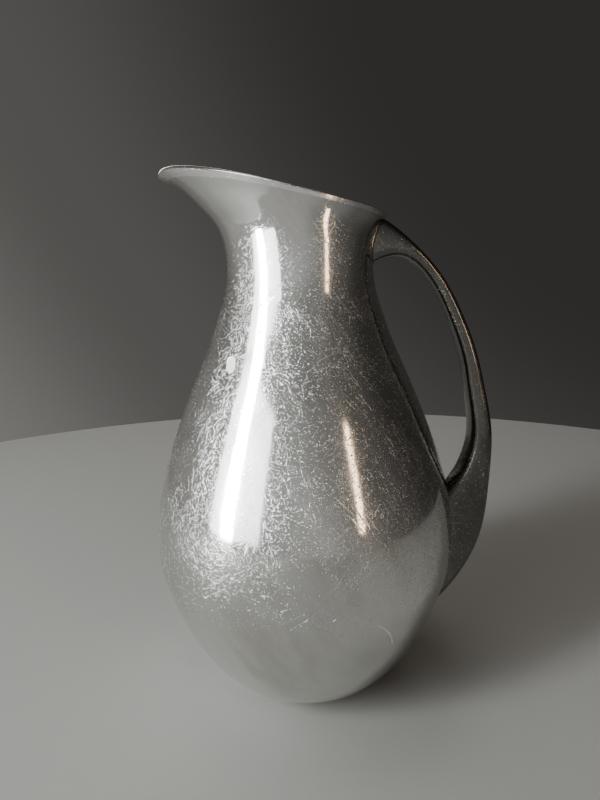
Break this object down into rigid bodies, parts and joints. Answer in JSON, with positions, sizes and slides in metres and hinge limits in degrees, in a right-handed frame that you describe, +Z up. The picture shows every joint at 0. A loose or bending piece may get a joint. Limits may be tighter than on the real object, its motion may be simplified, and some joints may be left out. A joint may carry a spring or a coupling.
{
  "type": "water pitcher",
  "caption": "Drop-shaped polished silver water pitcher with a slanting flared mouth, a drawn spout and a hollow loop handle soldered to neck and belly.",
  "frame": {"origin": "centre of the flat bottom the pitcher stands on", "axes": "+Z up along the body's axis, the spout towards -X, the handle towards +X, symmetric about Y = 0"},
  "size_m": [0.1577, 0.1384, 0.2385],
  "materials": {
    "polished_silver": "mirror polish with fine speckle and hair scratches",
    "lip_silver": "bright polished edge",
    "handle_silver": "mirror polish, worn a little duller by the hand",
    "silver_solder": "dull tarnished solder line"
  },
  "bodies": {
    "root": {"lower_bowl": "polished_silver", "upper_body": "polished_silver", "rim_wire": "lip_silver", "handle_left_shell": "handle_silver", "handle_right_shell": "handle_silver", "belly_seam_solder": "polished_silver", "upper_handle_solder": "silver_solder", "lower_handle_solder": "silver_solder"}
  },
  "joints": []
}
